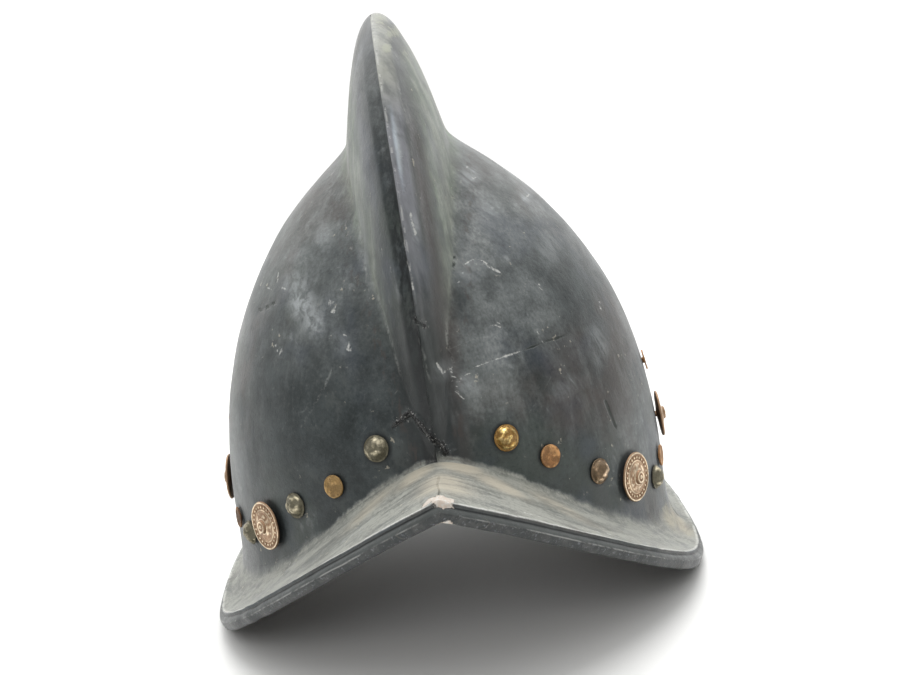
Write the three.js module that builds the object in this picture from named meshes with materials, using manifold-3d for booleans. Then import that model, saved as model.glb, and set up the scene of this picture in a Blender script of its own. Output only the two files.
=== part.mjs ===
// Comb morion: a hollow helmet made of two pressed shell halves that meet along the crest and at the
// brim's front and back points, with a row of studs, discs and rosettes riveted through the shell.
// Millimetres, +Z up, the wearer looks along -Y, and the brim's lowest edge lies on Z = 0.

import * as THREE from 'three';
import { mergeVertices } from 'three/addons/utils/BufferGeometryUtils.js';
import Module from 'manifold-3d';

const wasm = await Module();
wasm.setup();

// ---- Driving dimensions ---------------------------------------------------------------------

const wall = 3;                    // shell thickness
const gap = 0.3;                   // clearance between pieces that touch
const halfGap = gap / 2;

const skullHalfWidth = 111;
const skullHalfLength = 122;
const skullFoot = 38.5;            // the wall is upright below this height
const skullRise = 187.4;           // foot to the tip that the two flanks would meet at
const skullFlank = 2.33;           // how late the flank starts to lean in
const skullTip = 1.525;            // 1 is a straight-sided point, 2 a round dome
const skullPlan = 0.67;            // 0.5 is an ellipse seen from above, 1 is almond shaped
const tipInset = 1.4;              // the inner tip is this many wall thicknesses lower

const junctionSide = 23.3;         // height of the crease where the brim starts, at the ears
const junctionPeak = 91.5;         // the same at the front and back points
const junctionCurve = 2.92;

const crestTop = 283.6;            // highest point of the comb
const crestRound = 2.1;            // crest line seen from the side, near its top
const crestSteep = 2.8;            // crest line seen from the side, near its ends
const combSpread = 3.235;          // half width of the comb is this times the root of the depth
const combSpreadInside = 3.0;
const combInset = 4.5;             // outer crest to the comb's hollow
const combFillet = 3.79;           // higher is a tighter fillet where comb meets skull
const combLean = -3.0;             // the comb's top leans this far to the wearer's right

const brimHalfWidth = 121.5;
const brimHalfLength = 171.2;
const brimPlan = 2.84;
const brimPoint = 0.94;            // below 1 the plan's points are blunt
const brimPeakRise = 83.7;         // the edge's points stand this far above its lowest stretch
const brimRestHalf = 30;           // half length of the level stretch that the helmet stands on
const brimSweep = 1.97;
const brimDish = 2;                // the brim's top sinks this far below a straight slope
const brimBelly = 0.32;            // how far out from the crease the brim's curve turns level
const brimBellyRise = 0.15;        // how much of the slope is left there
const brimUnderInset = 2;          // the underside ends this far inside the crisp edge
const creaseDrop = 1;              // the underside's crease is this much below the outer one
const beadHeight = 9.5;            // depth of the rolled edge
const pointStretch = 1.15;         // a mitred point moves further than the sides for one offset

const lapOffset = 2;               // the crest seam lies this far to the wearer's right

const studRadius = 6;
const discRadius = 5.3;
const rosetteRadius = 11.7;
const shankRadius = 1.5;
const rivetHeadRadius = 3;
const rivetHeadHeight = 1;
const rivetHoleSides = 8;
const gripProbes = 8;              // places round a rivet head where the wall's depth is measured

const columns = 27;                // sections from the front point to the back point
const wallSteps = 10;              // steps from the crest down to the crease
const innerSteps = 8;
const brimSteps = 3;
const crestSteps = 240;            // pieces that the crest line is measured against
const seamHalvings = 30;           // halvings that place a seam on its section
const seamLowest = 0.6;            // no seam lies further down its section than this
const hairline = 1e-6;             // just past the crest
const weldDistance = 1e-4;         // points closer than this are one point

// ---- Materials ------------------------------------------------------------------------------

function paint() {
  return new THREE.MeshStandardMaterial({ color: 0x353d40, roughness: 0.48, metalness: 0.1 });
}

function bronze() {
  return new THREE.MeshStandardMaterial({ color: 0x6e5a38, roughness: 0.42, metalness: 0.9 });
}

function copper() {
  return new THREE.MeshStandardMaterial({ color: 0x9a6438, roughness: 0.5, metalness: 0.85 });
}

// ---- The shell's surface ----------------------------------------------------------------------
// One side of the helmet is a height field over the side view: x = halfWidth(y, z). A layer is the
// outer or the inner face of the wall, told apart by the sizes below.

function makeLayer(inset, spread, crestDrop) {
  const layer = {
    halfWidth: skullHalfWidth - inset,
    halfLength: skullHalfLength - inset,
    rise: skullRise - tipInset * inset,
    top: crestTop - crestDrop,
    spread,
  };
  layer.end = layer.halfLength * skullRatio(layer, junctionPeak);
  layer.crest = crestLine(layer);
  return layer;
}

function clamp01(value) {
  return Math.min(1, Math.max(0, value));
}

// Size of the skull's plan at a height, 1 at the foot and 0 at the tip.
function skullRatio(layer, z) {
  const k = clamp01((z - skullFoot) / layer.rise);
  return Math.pow(1 - Math.pow(k, skullFlank), 1 / skullTip);
}

function skullWidth(layer, y, z) {
  const ratio = skullRatio(layer, z);
  const reach = layer.halfLength * ratio;
  if (Math.abs(y) >= reach) {
    return 0;
  }
  return layer.halfWidth * ratio * Math.pow(1 - (y / reach) ** 2, skullPlan);
}

function crestHeight(layer, y) {
  const k = clamp01(Math.abs(y) / layer.end);
  const lift = Math.pow(1 - Math.pow(k, crestRound), 1 / crestSteep);
  return junctionPeak + (layer.top - junctionPeak) * lift;
}

// The crest seen from the side, as points evenly turned round it from front to back.
function crestLine(layer) {
  const points = [];
  for (let i = 0; i <= crestSteps; i += 1) {
    const turn = (Math.PI * i) / crestSteps;
    const rise = Math.pow(Math.sin(turn), crestSteep);
    const y = -Math.sign(Math.cos(turn)) * layer.end * Math.pow(clamp01(1 - rise), 1 / crestRound);
    points.push(new THREE.Vector2(y, crestHeight(layer, y)));
  }
  return points;
}

// Shortest distance in the side view from a point to the crest.
function crestDepth(layer, y, z) {
  let nearest = Infinity;
  for (let i = 1; i < layer.crest.length; i += 1) {
    const a = layer.crest[i - 1];
    const dy = layer.crest[i].x - a.x;
    const dz = layer.crest[i].y - a.y;
    const along = clamp01(((y - a.x) * dy + (z - a.y) * dz) / (dy * dy + dz * dz));
    nearest = Math.min(nearest, Math.hypot(y - a.x - along * dy, z - a.y - along * dz));
  }
  return nearest;
}

function halfWidth(layer, y, z) {
  const skull = skullWidth(layer, y, z);
  const comb = layer.spread * Math.sqrt(crestDepth(layer, y, z));
  return Math.pow(skull ** combFillet + comb ** combFillet, 1 / combFillet);
}

// Sideways lean of the whole upper helmet.
function lean(z) {
  return combLean * clamp01((z - skullFoot) / (crestTop - skullFoot)) ** 3;
}

function junctionHeight(t) {
  return junctionSide + (junctionPeak - junctionSide) * Math.pow(Math.abs(t), junctionCurve);
}

const outer = makeLayer(0, combSpread, 0);
const inner = makeLayer(wall, combSpreadInside, combInset);

// ---- One section of a half, from the crest seam over the wall and brim and back inside ---------
// t runs from -1 at the front point to 1 at the back point.

// A point on a section's wall: s = 0 on the crest and 1 in the crease, and a negative s lies
// past the crest on the other half's side.
function wallPoint(layer, t, s) {
  const drop = 1 - Math.cos((s * Math.PI) / 2);
  const foot = junctionHeight(t);
  const yCrest = layer.end * t;
  const zCrest = crestHeight(layer, yCrest);
  const yFoot = layer.halfLength * skullRatio(layer, foot) * t;
  const y = yCrest + (yFoot - yCrest) * drop;
  const z = zCrest + (foot - zCrest) * drop;
  return new THREE.Vector3(Math.sign(s) * halfWidth(layer, y, z), y, z);
}

// Where on the section the wall is as wide as the seam's offset.
function seamStep(layer, t, x) {
  let low = 0;
  let high = seamLowest;
  for (let i = 0; i < seamHalvings; i += 1) {
    const middle = (low + high) / 2;
    if (wallPoint(layer, t, middle).x < Math.abs(x)) {
      low = middle;
    } else {
      high = middle;
    }
  }
  return Math.sign(x) * low;
}

function wallRun(layer, t, seamX, steps) {
  const start = seamStep(layer, t, seamX);
  const run = [];
  for (let i = 0; i <= steps; i += 1) {
    run.push(wallPoint(layer, t, start + ((1 - start) * i) / steps));
  }
  if (start < 0) {
    const nextToCrest = 1 / (2 * steps);
    run.splice(1, 1, wallPoint(layer, t, hairline), wallPoint(layer, t, nextToCrest));
  }
  run[0].x = seamX;
  return run;
}

// The brim's edge, moved outwards by an offset and up by a lift.
function edgePoint(t, offset, lift) {
  const plan = Math.pow(1 - Math.pow(Math.abs(t), brimPlan), brimPoint);
  const y = brimHalfLength * t;
  const beyond = Math.max(0, Math.abs(y) - brimRestHalf) / (brimHalfLength - brimRestHalf);
  return new THREE.Vector3(
    Math.max(halfGap, (brimHalfWidth + offset) * plan),
    y + offset * pointStretch * t,
    beadHeight + brimPeakRise * Math.pow(beyond, brimSweep) + lift,
  );
}

// The dished brim between the crease and its edge.
function brimRun(from, to, dish) {
  const middle = from.clone().lerp(to, brimBelly);
  middle.z = to.z + brimBellyRise * (from.z - to.z) - dish;
  return new THREE.QuadraticBezierCurve3(from, middle, to).getPoints(brimSteps);
}

// Rolled edge, as offsets outwards and up from the brim's crisp upper edge.
const beadSection = [
  [0.3, -1],
  [1.9, -3],
  [2.2, -5],
  [0.7, -beadHeight],
  [-1.9, -beadHeight],
  [-3, -6],
];

function section(t, seamX) {
  const wallOutside = wallRun(outer, t, seamX, wallSteps);
  const wallInside = wallRun(inner, t, seamX, innerSteps);
  const creaseOutside = wallOutside[wallOutside.length - 1];
  const creaseInside = wallInside[wallInside.length - 1].clone();
  creaseInside.z -= creaseDrop;
  const edgeInside = edgePoint(t, -brimUnderInset, -wall);
  const brimTop = brimRun(creaseOutside, edgePoint(t, 0, 0), brimDish);
  const brimUnder = brimRun(creaseInside, edgeInside, brimDish + wall / 2);
  const bead = beadSection.map(([offset, lift]) => edgePoint(t, offset, lift));
  return {
    wallOutside,
    rim: [...brimTop.slice(1), ...bead, ...brimUnder.reverse().slice(0, -1)],
    wallInside: wallInside.reverse(),
  };
}

// The section at a point of the brim lies flat in the median plane, and has no wall above it.
function pointSection(t, wallCount, insideCount) {
  const flat = section(t, halfGap);
  const creaseOutside = new THREE.Vector3(halfGap, outer.end * t, junctionPeak);
  const creaseInside = new THREE.Vector3(halfGap, inner.end * t, junctionPeak);
  flat.wallOutside = Array(wallCount).fill(creaseOutside);
  flat.wallInside = Array(insideCount).fill(creaseInside);
  flat.rim.forEach((point) => {
    point.x = halfGap;
  });
  return flat;
}

// ---- A shell half ---------------------------------------------------------------------------
// Built on the +X side and mirrored for the wearer's right. seamSign is 1 for the half that laps
// over the crest and -1 for the one that stops short of it.

function halfShellMesh(seamSign) {
  const sections = [];
  for (let i = 1; i < columns; i += 1) {
    const t = -Math.cos((Math.PI * i) / columns);
    sections.push(section(t, halfGap - seamSign * lapOffset * (1 - t * t)));
  }
  const wallCount = Math.max(...sections.map((one) => one.wallOutside.length));
  const insideCount = Math.max(...sections.map((one) => one.wallInside.length));
  const evened = sections.map((one) => evenRuns(one, wallCount, insideCount));
  const front = pointSection(-1, wallCount, insideCount);
  const back = pointSection(1, wallCount, insideCount);
  const rings = [front, ...evened, back].map((one) => [
    ...one.wallOutside,
    ...one.rim,
    ...one.wallInside,
  ]);
  return closeRings(rings, front.rim.length, wallCount - 1);
}

// Every section has the same number of points, also where the seam changes sides.
function evenRuns(one, wallCount, insideCount) {
  while (one.wallOutside.length < wallCount) {
    one.wallOutside.splice(1, 0, one.wallOutside[0].clone().lerp(one.wallOutside[1], 0.5));
  }
  while (one.wallInside.length < insideCount) {
    const end = one.wallInside.length - 1;
    one.wallInside.splice(end, 0, one.wallInside[end].clone().lerp(one.wallInside[end - 1], 0.5));
  }
  return one;
}

function closeRings(rings, rimCount, rimStart) {
  const size = rings[0].length;
  const positions = rings.flat().flatMap((point) => [point.x, point.y, point.z]);
  const index = [];
  for (let i = 0; i + 1 < rings.length; i += 1) {
    for (let j = 0; j < size; j += 1) {
      const next = (j + 1) % size;
      const a = i * size + j;
      const b = i * size + next;
      index.push(a, b, a + size, b, b + size, a + size);
    }
  }
  capRing(rings[0], rimStart, rimCount, 0, index);
  capRing(rings[rings.length - 1], rimStart, rimCount, (rings.length - 1) * size, index);
  const geometry = new THREE.BufferGeometry();
  geometry.setAttribute('position', new THREE.Float32BufferAttribute(positions, 3));
  geometry.setIndex(index);
  return geometry;
}

// Closes the brim's end with a flat face towards the other half: the rim and its two crease points.
function capRing(ring, rimStart, rimCount, base, index) {
  const outline = [];
  for (let j = rimStart; j < rimStart + rimCount + 2; j += 1) {
    outline.push(new THREE.Vector2(ring[j].y, ring[j].z));
  }
  THREE.ShapeUtils.triangulateShape(outline, []).forEach(([a, b, c]) => {
    const facesOut = THREE.ShapeUtils.area([outline[a], outline[b], outline[c]]) < 0;
    const corners = facesOut ? [a, b, c] : [a, c, b];
    index.push(...corners.map((corner) => base + rimStart + corner));
  });
}

// ---- Solids -----------------------------------------------------------------------------------

function toManifold(geometry) {
  geometry.deleteAttribute('normal');
  geometry.deleteAttribute('uv');
  const merged = mergeVertices(geometry, weldDistance);
  const triVerts = [];
  const source = merged.index.array;
  for (let i = 0; i < source.length; i += 3) {
    const [a, b, c] = [source[i], source[i + 1], source[i + 2]];
    if (a !== b && b !== c && c !== a) {
      triVerts.push(a, b, c);
    }
  }
  const vertProperties = new Float32Array(merged.attributes.position.array);
  const mesh = { numProp: 3, vertProperties, triVerts: new Uint32Array(triVerts) };
  return new wasm.Manifold(new wasm.Mesh(mesh));
}

function toGeometry(solid) {
  const mesh = solid.getMesh();
  const geometry = new THREE.BufferGeometry();
  geometry.setAttribute('position', new THREE.Float32BufferAttribute(mesh.vertProperties, 3));
  geometry.setIndex([...mesh.triVerts]);
  return geometry;
}

// ---- Ornaments --------------------------------------------------------------------------------
// Each is turned about its own axis and held by a shank through the wall with a flat rivet head.

function shankProfile(grip) {
  return [
    [shankRadius, 0],
    [shankRadius, -grip],
    [rivetHeadRadius, -grip],
    [rivetHeadRadius, -grip - rivetHeadHeight],
    [0, -grip - rivetHeadHeight],
  ];
}

const ornaments = {
  stud: { sides: 10, material: bronze, face: [[0, 3.9], [2.9, 3.3], [5, 1.6], [studRadius, 0]] },
  disc: {
    sides: 10,
    material: copper,
    face: [[0, 0.9], [4.8, 0.9], [discRadius, 0.5], [discRadius, 0]],
  },
  rosette: {
    sides: 16,
    material: bronze,
    face: [
      [0, 4.8], [1.6, 4.6], [3.2, 3.9], [3.7, 3], [7.4, 2.3], [10, 1.7], [11, 1.8],
      [rosetteRadius, 1.1], [rosetteRadius, 0],
    ],
  },
};

// Where each ornament sits: t from the front point to the back point, and the height above the
// crease. They were set by hand, so the two sides differ a little.
const leftRow = [
  { name: 'stud_front_1', kind: 'stud', t: -0.92, above: 18 },
  { name: 'disc_front_1', kind: 'disc', t: -0.837, above: 17.5 },
  { name: 'stud_front_2', kind: 'stud', t: -0.696, above: 19 },
  { name: 'rosette_front', kind: 'rosette', t: -0.543, above: 20 },
  { name: 'stud_front_3', kind: 'stud', t: -0.358, above: 18.5 },
  { name: 'disc_front_2', kind: 'disc', t: -0.25, above: 27 },
];
const leftEar = [
  { name: 'rosette_ear', kind: 'rosette', t: -0.04, above: 42 },
  { name: 'disc_ear', kind: 'disc', t: -0.07, above: 72 },
];
const rightRow = [
  { name: 'stud_front_1', kind: 'stud', t: -0.938, above: 18.5 },
  { name: 'disc_front_1', kind: 'disc', t: -0.843, above: 16.5 },
  { name: 'stud_front_2', kind: 'stud', t: -0.716, above: 21 },
  { name: 'rosette_front', kind: 'rosette', t: -0.575, above: 20 },
  { name: 'stud_front_3', kind: 'stud', t: -0.435, above: 19 },
  { name: 'disc_front_2', kind: 'disc', t: -0.31, above: 26 },
];
const rightEar = [
  { name: 'rosette_ear', kind: 'rosette', t: 0, above: 38 },
  { name: 'disc_ear', kind: 'disc', t: 0.06, above: 68 },
];

// The row behind the ears mirrors the one in front of them.
function backOf(row) {
  return row.map((place) => (
    { ...place, name: place.name.replace('front', 'back'), t: -place.t }
  ));
}

function surfacePoint(layer, t, z) {
  const y = layer.halfLength * skullRatio(layer, z) * t;
  return new THREE.Vector3(halfWidth(layer, y, z), y, z);
}

function surfaceNormal(layer, point) {
  const step = 0.5;
  const across = halfWidth(layer, point.y + step, point.z) - halfWidth(layer, point.y - step, point.z);
  const upward = halfWidth(layer, point.y, point.z + step) - halfWidth(layer, point.y, point.z - step);
  return new THREE.Vector3(1, -across / (2 * step), -upward / (2 * step)).normalize();
}

// How deep the wall reaches below an ornament's seat, anywhere under the rivet head.
function wallDepth(half, seat, outwards) {
  const turn = new THREE.Quaternion().setFromUnitVectors(new THREE.Vector3(0, 0, 1), outwards);
  const inwards = outwards.clone().negate();
  const start = 2 * wall;
  let deepest = 0;
  for (let i = 0; i < gripProbes; i += 1) {
    const angle = (2 * Math.PI * i) / gripProbes;
    const probe = new THREE.Vector3(Math.cos(angle), Math.sin(angle), 0);
    probe.multiplyScalar(rivetHeadRadius).applyQuaternion(turn).add(seat);
    probe.addScaledVector(outwards, start);
    const hits = new THREE.Raycaster(probe, inwards, 0, start + 3 * wall).intersectObject(half);
    deepest = Math.max(deepest, ...hits.map((hit) => hit.distance - start));
  }
  return deepest;
}

function placeOrnament({ name, kind, t, above }, side, half) {
  const { sides, material, face } = ornaments[kind];
  const seat = surfacePoint(outer, t, junctionHeight(t) + above);
  const outwards = surfaceNormal(outer, seat);
  seat.x = side * seat.x + lean(seat.z);
  outwards.x *= side;
  const grip = wallDepth(half, seat, outwards) + 2 * gap;
  const profile = [...face, ...shankProfile(grip)].map(([r, h]) => new THREE.Vector2(r, h));
  const geometry = new THREE.LatheGeometry(profile.reverse(), sides);
  geometry.rotateX(Math.PI / 2);
  const mesh = new THREE.Mesh(geometry, material());
  mesh.name = `${name}_${side > 0 ? 'left' : 'right'}`;
  mesh.position.copy(seat).addScaledVector(outwards, gap);
  mesh.quaternion.setFromUnitVectors(new THREE.Vector3(0, 0, 1), outwards);
  mesh.updateMatrix();
  return mesh;
}

// The rivet hole that an ornament's shank passes through.
function rivetHole(mesh) {
  const radius = shankRadius + gap;
  const length = 8 * wall;
  const geometry = new THREE.CylinderGeometry(radius, radius, length, rivetHoleSides);
  geometry.rotateX(Math.PI / 2);
  geometry.applyMatrix4(mesh.matrix);
  return toManifold(geometry);
}

// ---- Assembly ---------------------------------------------------------------------------------

// One half before drilling, set in place with its lean.
function blankHalf(side, seamSign) {
  const geometry = halfShellMesh(seamSign);
  const position = geometry.attributes.position;
  for (let i = 0; i < position.count; i += 1) {
    position.setX(i, side * position.getX(i) + lean(position.getZ(i)));
  }
  if (side < 0) {
    geometry.index.array.reverse();
  }
  return new THREE.Mesh(geometry, new THREE.MeshBasicMaterial({ side: THREE.DoubleSide }));
}

function drill(blank, fixings) {
  let solid = toManifold(blank.geometry);
  fixings.forEach((fixing) => {
    solid = solid.subtract(rivetHole(fixing));
  });
  return new THREE.Mesh(toGeometry(solid), paint());
}

function buildHalf(name, side, seamSign, row, ear) {
  const blank = blankHalf(side, seamSign);
  const places = [...row, ...ear, ...backOf(row)];
  const fixings = places.map((place) => placeOrnament(place, side, blank));
  const shell = drill(blank, fixings);
  shell.name = name;
  return [shell, ...fixings];
}

const helmet = new THREE.Group();
helmet.add(...buildHalf('shell_left', 1, 1, leftRow, leftEar));
helmet.add(...buildHalf('shell_right', -1, -1, rightRow, rightEar));

export default helmet;
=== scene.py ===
"""Looks of the comb morion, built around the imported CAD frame.

Metres in Blender, millimetres in the shape formulas. +Z is up, the wearer looks along -Y and +X is
the wearer's left. Each CAD node is replaced by a finer piece of the same size and place.
"""

import math

import bpy
import numpy as np
from functools import partial, reduce
from mathutils import Matrix, Vector
from types import SimpleNamespace


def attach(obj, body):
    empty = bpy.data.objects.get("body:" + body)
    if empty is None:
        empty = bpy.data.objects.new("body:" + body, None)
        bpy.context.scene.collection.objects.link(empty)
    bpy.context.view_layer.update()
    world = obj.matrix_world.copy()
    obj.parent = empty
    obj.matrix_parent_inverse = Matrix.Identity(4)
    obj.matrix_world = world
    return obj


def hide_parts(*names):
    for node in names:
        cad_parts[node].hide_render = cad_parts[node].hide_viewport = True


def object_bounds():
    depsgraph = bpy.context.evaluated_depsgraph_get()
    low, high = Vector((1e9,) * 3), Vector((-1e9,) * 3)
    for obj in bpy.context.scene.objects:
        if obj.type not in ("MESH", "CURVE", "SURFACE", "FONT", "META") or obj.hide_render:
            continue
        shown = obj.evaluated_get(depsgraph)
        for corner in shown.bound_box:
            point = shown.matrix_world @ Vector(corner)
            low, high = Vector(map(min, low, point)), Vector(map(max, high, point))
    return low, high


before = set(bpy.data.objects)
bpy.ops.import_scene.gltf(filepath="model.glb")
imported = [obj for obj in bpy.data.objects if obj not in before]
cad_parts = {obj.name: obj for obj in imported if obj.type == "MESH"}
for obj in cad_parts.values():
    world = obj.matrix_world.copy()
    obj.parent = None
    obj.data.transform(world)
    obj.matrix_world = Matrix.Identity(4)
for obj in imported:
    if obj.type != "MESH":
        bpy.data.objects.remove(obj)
CAD_LOW, CAD_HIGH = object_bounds()
MM = 0.001

# ---- Sizes of the shell, in millimetres ----
# FLANK, TIP, PLAN, CURVE, ROUND, STEEP, FILLET, POINT and SWEEP are exponents of the outlines.

WALL = 3.0
SEAM_GAP = 0.01  # the halves all but touch, so no light shows through the seam
SKULL_HALF_WIDTH = 111.0
SKULL_HALF_LENGTH = 122.0
SKULL_FOOT = 38.5
SKULL_RISE = 187.4
SKULL_FLANK = 2.33
SKULL_TIP = 1.525
SKULL_PLAN = 0.67
JUNCTION_SIDE = 23.3
JUNCTION_PEAK = 91.5
JUNCTION_CURVE = 2.92
CREST_TOP = CAD_HIGH.z / MM - 0.2  # keeps the worked surface inside the CAD box
CREST_ROUND = 2.1
CREST_STEEP = 2.8
COMB_SPREAD = 3.235
COMB_SPREAD_INSIDE = 3.0
COMB_INSET = 4.5
COMB_FILLET = 3.79
COMB_LEAN = -3.0
BEAD_BULGE = 2.2  # how far the rolled edge stands out past the brim's crisp edge
POINT_STRETCH = 1.15
BRIM_HALF_WIDTH = (CAD_HIGH.x - CAD_LOW.x) / MM / 2 - BEAD_BULGE
BRIM_HALF_LENGTH = (CAD_HIGH.y - CAD_LOW.y) / MM / 2 - BEAD_BULGE * POINT_STRETCH
BRIM_PLAN = 2.84
BRIM_POINT = 0.94
BRIM_PEAK_RISE = 83.7
BRIM_REST_HALF = 30.0
BRIM_SWEEP = 1.97
BRIM_DISH = 2.0
BRIM_HOLLOW_OUT = 0.32  # where the brim's section is hollowest, from the crease outwards
BRIM_HOLLOW_UP = 0.15  # and from the edge upwards
UNDER_INSET = 2.0
CREASE_DROP = 1.0  # the crease inside is this much lower than the wall's
BEAD_HEIGHT = 9.5
LAP_OFFSET = 2.0
LAP_SHARE = 0.12  # of each section, taken up by the fine steps beside the lap
RISE_PER_INSET = 1.4

COLUMNS = 320  # sections from the front point to the back point
LAP_STEPS = 44  # steps across the lapped strip of the crest
WALL_STEPS = 120
BRIM_STEPS = 34
UNDER_STEPS = 12
INNER_STEPS = 30


# ---- Noise and curves ----

def lattice(ix, iy, iz, seed):
    mixed = (ix * 374761393 + iy * 668265263 + iz * 1442695041 + seed * 97463477) & 0xFFFFFFFF
    mixed = ((mixed ^ (mixed >> 13)) * 1274126177) & 0xFFFFFFFF
    return ((mixed ^ (mixed >> 16)) & 0xFFFFFF) / 0xFFFFFF


def noise(points, size, seed):
    """Smooth noise from -1 to 1 at (..., 3) points, with bumps about `size` across."""
    scaled = points / size
    base = np.floor(scaled).astype(np.int64)
    part = scaled - base
    part = part * part * (3 - 2 * part)
    total = np.zeros(points.shape[:-1])
    for corner in range(8):
        step = np.array([corner & 1, corner >> 1 & 1, corner >> 2 & 1])
        weight = np.prod(np.where(step == 1, part, 1 - part), axis=-1)
        cell = base + step
        total += weight * lattice(cell[..., 0], cell[..., 1], cell[..., 2], seed)
    return 2 * total - 1


def bump(value, width):
    return np.exp(-((value / width) ** 2))


def smooth_step(value, low, high):
    k = np.clip((value - low) / (high - low), 0, 1)
    return k * k * (3 - 2 * k)


def line_distance(points, line):
    """Distance in the plane from (..., 2) points to a polyline."""
    nearest = np.full(points.shape[:-1], 1e9)
    for start, end in zip(line[:-1], line[1:]):
        start = np.array(start, float)
        run = np.array(end, float) - start
        along = np.clip(((points - start) @ run) / (run @ run), 0, 1)
        nearest = np.minimum(nearest, np.linalg.norm(points - start - along[..., None] * run, axis=-1))
    return nearest


# ---- The shell's surface ----

class Layer:
    """The outer or the inner face of the wall."""

    def __init__(self, inset, spread, crest_drop):
        self.half_width = SKULL_HALF_WIDTH - inset
        self.half_length = SKULL_HALF_LENGTH - inset
        self.rise = SKULL_RISE - RISE_PER_INSET * inset
        self.top = CREST_TOP - crest_drop
        self.spread = spread
        self.end = self.half_length * self.ratio(JUNCTION_PEAK)
        turn = np.linspace(0, math.pi, 361)
        lift = np.sin(turn) ** CREST_STEEP
        y = -np.sign(np.cos(turn)) * self.end * np.clip(1 - lift, 0, 1) ** (1 / CREST_ROUND)
        self.crest = np.stack([y, self.crest_height(y)], axis=1)

    def ratio(self, z):
        k = np.clip((z - SKULL_FOOT) / self.rise, 0, 1)
        return (1 - k ** SKULL_FLANK) ** (1 / SKULL_TIP)

    def skull(self, y, z):
        ratio = self.ratio(z)
        reach = np.maximum(self.half_length * ratio, 1e-6)
        inside = np.clip(1 - (y / reach) ** 2, 0, 1)
        return self.half_width * ratio * inside ** SKULL_PLAN

    def crest_height(self, y):
        k = np.clip(np.abs(y) / self.end, 0, 1)
        lift = (1 - k ** CREST_ROUND) ** (1 / CREST_STEEP)
        return JUNCTION_PEAK + (self.top - JUNCTION_PEAK) * lift

    def comb(self, y, z):
        start = self.crest[:-1]
        run = self.crest[1:] - start
        length = (run ** 2).sum(axis=1)
        flat = np.stack([np.ravel(y), np.ravel(z)], axis=1)
        depth = np.empty(len(flat))
        for i in range(0, len(flat), 4000):
            away = flat[i:i + 4000, None] - start
            along = np.clip((away * run).sum(axis=2) / length, 0, 1)
            depth[i:i + 4000] = np.linalg.norm(away - along[..., None] * run, axis=2).min(axis=1)
        return self.spread * np.sqrt(depth.reshape(np.shape(y)))

    def width(self, y, z):
        return (self.skull(y, z) ** COMB_FILLET + self.comb(y, z) ** COMB_FILLET) ** (1 / COMB_FILLET)

    def wall(self, t, s):
        """Wall points: s is 0 on the crest, 1 in the crease, negative past the crest."""
        drop = 1 - np.cos(s * math.pi / 2)
        foot = junction_height(t)
        y_crest = self.end * t
        z_crest = self.crest_height(y_crest)
        y = y_crest + (self.half_length * self.ratio(foot) * t - y_crest) * drop
        z = z_crest + (foot - z_crest) * drop
        return np.stack([np.sign(s) * self.width(y, z), y, z], axis=-1)

    def seam(self, t, x):
        """Where on each section the wall is as wide as the seam's offset."""
        low = np.zeros_like(t)
        high = np.full_like(t, 0.6)
        for _ in range(30):
            middle = (low + high) / 2
            short = self.wall(t, middle)[..., 0] < np.abs(x)
            low = np.where(short, middle, low)
            high = np.where(short, high, middle)
        return np.sign(x) * low

    def run(self, t, seam_x, lap_steps, steps):
        """Wall points of each section from the seam to the crease, closer together near the crest."""
        start = self.seam(t, seam_x)
        lap = np.linspace(0, LAP_SHARE, lap_steps, endpoint=False) if lap_steps else np.empty(0)
        rest = np.linspace(LAP_SHARE if lap_steps else 0, 1, steps + 1)
        along = np.concatenate([lap, rest])
        s = start[:, None] + (1 - start[:, None]) * along[None]
        points = self.wall(np.broadcast_to(t[:, None], s.shape), s)
        points[:, 0, 0] = seam_x
        return points


def junction_height(t):
    return JUNCTION_SIDE + (JUNCTION_PEAK - JUNCTION_SIDE) * np.abs(t) ** JUNCTION_CURVE


def lean(z):
    return COMB_LEAN * np.clip((z - SKULL_FOOT) / (CREST_TOP - SKULL_FOOT), 0, 1) ** 3


def edge_points(t, offset, lift):
    plan = (1 - np.abs(t) ** BRIM_PLAN) ** BRIM_POINT
    y = BRIM_HALF_LENGTH * t
    beyond = np.maximum(0, np.abs(y) - BRIM_REST_HALF) / (BRIM_HALF_LENGTH - BRIM_REST_HALF)
    x = np.maximum(SEAM_GAP, (BRIM_HALF_WIDTH + offset) * plan)
    z = BEAD_HEIGHT + BRIM_PEAK_RISE * beyond ** BRIM_SWEEP + lift
    return np.stack([x, y + offset * POINT_STRETCH * t, z], axis=-1)


def brim_run(start, end, dish, steps):
    middle = start + (end - start) * BRIM_HOLLOW_OUT
    middle[:, 2] = end[:, 2] + BRIM_HOLLOW_UP * (start[:, 2] - end[:, 2]) - dish
    k = np.linspace(0, 1, steps + 1)[None, :, None]
    return (1 - k) ** 2 * start[:, None] + 2 * k * (1 - k) * middle[:, None] + k ** 2 * end[:, None]


OUTER = Layer(0, COMB_SPREAD, 0)
INNER = Layer(WALL, COMB_SPREAD_INSIDE, COMB_INSET)

# Rolled edge below the brim's crisp edge: a groove, two facets that meet in a ridge, and the foot.
BEAD = [
    (0.45, -0.5), (0.5, -1.2), (0.25, -1.9), (0.35, -2.3), (1.1, -2.8), (1.8, -3.5), (2.15, -4.4),
    (2.2, -5.0), (1.95, -6.0), (1.55, -7.2), (1.1, -8.4), (0.6, -9.1), (-0.1, -9.5), (-1.2, -9.5),
    (-2.0, -9.0), (-2.7, -7.6), (-3.0, -6.0), (-2.7, -4.4),
]


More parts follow.
